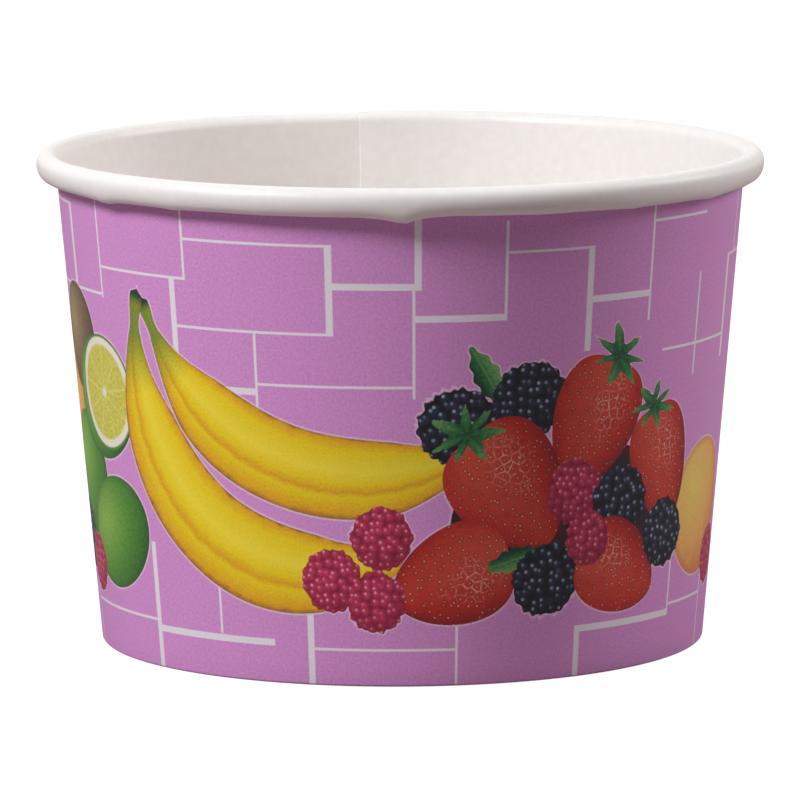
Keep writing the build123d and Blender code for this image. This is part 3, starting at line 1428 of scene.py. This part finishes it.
@dataclass
class BaseDisc:
    """The white disc of the foot, bent down at its rim into a skirt."""

    form: CupForm
    coated: WhiteBoard
    sides: int = 192
    bend: float = 0.6 * MM
    dish: float = 0.25 * MM
    bend_steps: int = 6
    rings: int = 6
    level: float = 0.99
    skirt_foot: float = 1.0 * MM

    def build(self) -> bpy.types.Object:
        """Extrude the disc down from a circle at its crease.

        Returns:
            The finished disc.
        """
        form = self.form
        depth = form.board + form.seal_gap
        top = form.base_recess + form.board
        crease = form.wall_radius(top, depth)
        bpy.ops.object.select_all(action="DESELECT")
        bpy.ops.mesh.primitive_circle_add(
            vertices=self.sides, radius=crease, fill_type="NGON", location=(0, 0, top))
        disc = bpy.context.active_object
        disc.name = disc.data.name = "white_base_disc"
        bpy.ops.object.transform_apply(location=True)
        pick(disc, "EDGE", lambda edge: True)
        bpy.ops.mesh.extrude_edges_move(TRANSFORM_OT_translate={"value": (0, 0, self.skirt_foot - top)})
        lower = form.wall_radius(self.skirt_foot, depth) / crease
        bpy.ops.transform.resize(value=(lower, lower, 1.0), center_override=(0, 0, 0))
        pick(disc, "EDGE", lambda edge: all(
            disc.data.vertices[at].co.z > top - self.bend for at in edge.vertices))
        bpy.ops.mesh.bevel(offset=self.bend, segments=self.bend_steps, affect="EDGES")
        pick(disc, "FACE", lambda face: face.normal.z > self.level and len(face.vertices) > 4)
        for _ in range(self.rings):
            bpy.ops.mesh.inset(thickness=crease / (self.rings + 1))
        bpy.ops.mesh.select_all(action="SELECT")
        bpy.ops.mesh.normals_make_consistent(inside=False)
        bpy.ops.object.mode_set(mode="OBJECT")
        for vertex in disc.data.vertices:
            out = hypot(vertex.co.x, vertex.co.y) / (crease - self.bend)
            vertex.co.z -= self.dish * max(1.0 - out * out, 0.0)
        disc.data.materials.append(self.coated.material())
        thicken(disc, form.board)
        return disc


@dataclass(frozen=True)
class Lamp:
    """A soft box of the studio, aimed at the cup."""

    name: str
    place: tuple[float, float, float]
    size: float
    power: float
    colour: tuple[float, float, float] = (1.0, 1.0, 1.0)

    def hang(self, target: Vector) -> None:
        """Hang the lamp and aim it.

        Args:
            target: Point that the lamp is aimed at.
        """
        bpy.ops.object.light_add(type="AREA", location=self.place)
        lamp = bpy.context.active_object
        lamp.name = lamp.data.name = self.name
        lamp.data.shape = "DISK"
        lamp.data.size = self.size
        lamp.data.energy = self.power
        lamp.data.color = self.colour
        lamp.rotation_euler = (target - Vector(self.place)).to_track_quat("-Z", "Y").to_euler()


@dataclass
class Studio:
    """Pale floor, soft lamps and the camera."""

    picture_width: float = 800.0
    focal_pixels: float = 7377.0
    sensor_width: float = 36.0
    pitch: float = radians(8.3)
    roll: float = radians(-0.28)
    aim: tuple[float, float] = (-0.18 * MM, 29.98 * MM)
    distance: float = 0.9374
    floor_size: float = 6.0
    floor_drop: float = 0.05 * MM
    floor_shade: tuple[float, float, float] = (0.32, 0.266, 0.266)
    floor_glow: float = 0.92
    ambient: float = 0.08
    lamps: tuple[Lamp, ...] = (
        Lamp("key_lamp", (-0.72, -0.45, 0.74), 0.35, 10.4, (0.96, 1.0, 1.02)),
        Lamp("side_lamp", (0.88, 0.24, 0.47), 0.4, 4.85),
        Lamp("top_lamp", (0.15, -0.25, 1.0), 0.5, 2.6),
    )

    def build(self) -> None:
        """Set up the floor, the surroundings, the lamps and the camera."""
        scene = bpy.context.scene
        scene.view_settings.view_transform = "Standard"
        self.lay_floor()
        self.light_surroundings()
        across, height = self.aim
        for lamp in self.lamps:
            lamp.hang(Vector((0.0, 0.0, height)))
        bpy.ops.object.camera_add()
        camera = bpy.context.active_object
        camera.data.sensor_width = self.sensor_width
        camera.data.lens = self.focal_pixels * self.sensor_width / self.picture_width
        back, rise = self.distance * cos(self.pitch), self.distance * sin(self.pitch)
        camera.location = (across, -back, height + rise)
        turned = Matrix.Rotation(pi / 2 - self.pitch, 3, "X") @ Matrix.Rotation(self.roll, 3, "Z")
        camera.rotation_euler = turned.to_euler()
        scene.camera = camera

    def lay_floor(self) -> None:
        """Lay a pale floor that the camera sees as white, with the cup's shadow on it."""
        bpy.ops.object.select_all(action="DESELECT")
        bpy.ops.mesh.primitive_plane_add(size=self.floor_size, location=(0.0, 0.0, -self.floor_drop))
        floor = bpy.context.active_object
        floor.name = floor.data.name = "studio_floor"
        material = bpy.data.materials.new("studio_floor")
        material.use_nodes = True
        tree = material.node_tree
        shader = tree.nodes["Principled BSDF"]
        shader.inputs["Base Color"].default_value = (*self.floor_shade, 1.0)
        shader.inputs["Roughness"].default_value = 1.0
        shader.inputs["Specular IOR Level"].default_value = 0.0
        glow = tree.nodes.new("ShaderNodeMath")
        glow.operation = "MULTIPLY"
        glow.inputs[1].default_value = self.floor_glow
        tree.links.new(tree.nodes.new("ShaderNodeLightPath").outputs["Is Camera Ray"], glow.inputs[0])
        shader.inputs["Emission Color"].default_value = (1.0, 1.0, 1.0, 1.0)
        tree.links.new(glow.outputs[0], shader.inputs["Emission Strength"])
        floor.data.materials.append(material)

    def light_surroundings(self) -> None:
        """Give the room a soft light that is seen as white, also in reflections."""
        world = bpy.data.worlds.new("studio")
        bpy.context.scene.world = world
        world.use_nodes = True
        tree = world.node_tree
        path = tree.nodes.new("ShaderNodeLightPath").outputs
        seen = Field(tree, path["Is Camera Ray"])
        for name in ("Is Glossy Ray", "Is Transmission Ray"):
            seen = seen.greatest(Field(tree, path[name]))
        strength = seen * (1.0 - self.ambient) + self.ambient
        tree.nodes["Background"].inputs["Color"].default_value = (1.0, 1.0, 1.0, 1.0)
        tree.links.new(strength.socket, tree.nodes["Background"].inputs["Strength"])


def main() -> None:
    """Build the cup's two pieces and the studio round them."""
    logging.basicConfig(level=logging.INFO)
    form = CupForm.from_frame()
    white = WhiteBoard("white_board")
    cut = WhiteBoard("cut_edge", roughness=0.8, light=linear(246, 242, 236), dark=linear(236, 230, 222))
    wall = Sidewall(form, FruitPrint(), white, cut)
    for piece, node, slot in (
        (wall.build(), "sidewall", "printed_paperboard"),
        (BaseDisc(form, white).build(), "base_disc", "white_paperboard"),
    ):
        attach(piece, "root")
        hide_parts(node)
        log.info("%s: %d faces", piece.name, len(piece.data.polygons))
    Studio().build()


if __name__ == "__main__":
    main()
